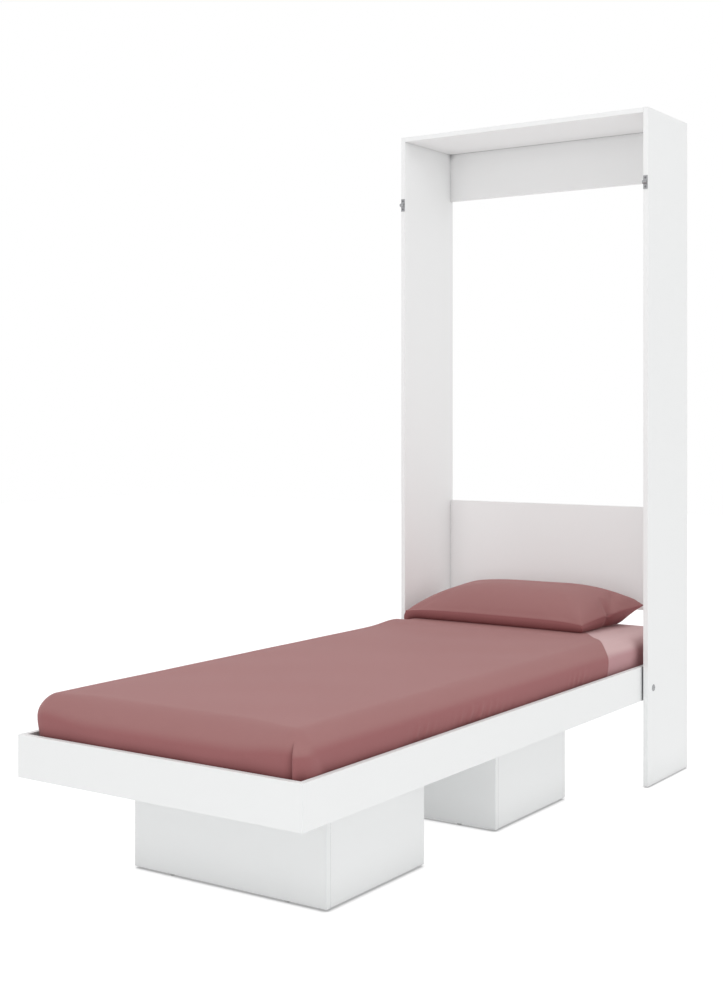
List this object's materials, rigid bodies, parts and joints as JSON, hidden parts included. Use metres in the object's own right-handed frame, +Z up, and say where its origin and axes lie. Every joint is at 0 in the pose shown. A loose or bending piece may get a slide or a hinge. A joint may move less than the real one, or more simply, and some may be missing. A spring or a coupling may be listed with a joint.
{
  "type": "folding wall bed",
  "caption": "Single wall bed: a tray with mattress and bedding that hinges up into a shallow open cabinet, standing on two boxes that turn into shelves when it is up.",
  "frame": {"origin": "on the floor, midway between the two side panels and midway between the footboard's face and the cabinet's back", "axes": "+Z up, +Y from the foot of the bed to the wall, +X to the right of someone who faces the wall"},
  "size_m": [0.871, 1.951, 2.035],
  "materials": {
    "white_board": "satin",
    "zinc_steel": "satin",
    "screw_steel": "satin",
    "cam_zinc": "matte",
    "yellow_zinc": "satin",
    "dowel_beech": "matte",
    "glide_plastic": "matte",
    "nylon": "satin",
    "mattress_cover": "matte",
    "sheet_cloth": "matte",
    "spread_cloth": "matte"
  },
  "bodies": {
    "cabinet": {"left_side_panel": "white_board", "right_side_panel": "white_board", "top_panel": "white_board", "top_back_rail": "white_board", "lower_back_panel": "white_board", "cabinet_glides": "glide_plastic", "cabinet_cams": "cam_zinc", "cabinet_cam_bolts": "yellow_zinc", "cabinet_dowels": "dowel_beech", "wall_brackets": "zinc_steel", "wall_bracket_screws": "screw_steel", "bolt_keepers": "zinc_steel", "keeper_screws": "screw_steel", "pivot_sleeves": "zinc_steel", "pivot_screws": "zinc_steel", "pivot_spacers": "nylon"},
    "bed": {"pivot_bushes": "nylon", "left_bed_rail": "white_board", "right_bed_rail": "white_board", "footboard": "white_board", "head_rail": "white_board", "foot_base_panel": "white_board", "head_base_panel": "white_board", "tray_cams": "cam_zinc", "tray_cam_bolts": "yellow_zinc", "tray_dowels": "dowel_beech", "front_box_front_wall": "white_board", "front_box_back_wall": "white_board", "front_box_left_wall": "white_board", "front_box_right_wall": "white_board", "rear_box_front_wall": "white_board", "rear_box_back_wall": "white_board", "rear_box_left_wall": "white_board", "rear_box_right_wall": "white_board", "box_cams": "cam_zinc", "box_cam_bolts": "yellow_zinc", "box_dowels": "dowel_beech", "box_brackets": "zinc_steel", "box_bracket_screws": "screw_steel", "box_glides": "glide_plastic", "left_bolt_plate": "zinc_steel", "right_bolt_plate": "zinc_steel", "bolt_plate_screws": "screw_steel", "mattress": "mattress_cover", "fitted_sheet": "sheet_cloth", "bedspread": "spread_cloth", "pillow": "spread_cloth"},
    "left_bolt": {"left_bolt_rod": "zinc_steel", "left_bolt_knob": "zinc_steel"},
    "right_bolt": {"right_bolt_rod": "zinc_steel", "right_bolt_knob": "zinc_steel"}
  },
  "joints": [
    {"name": "bed_fold", "type": "hinge", "parent": "cabinet", "child": "bed", "pos_m": [0, 0.7155, 0.288], "axis": [-1, 0, 0], "range_deg": [0, 90]},
    {"name": "left_bolt_slide", "type": "slide", "parent": "bed", "child": "left_bolt", "axis": [-1, 0, 0], "range_m": [0, 0.058]},
    {"name": "right_bolt_slide", "type": "slide", "parent": "bed", "child": "right_bolt", "axis": [1, 0, 0], "range_m": [0, 0.058]}
  ]
}
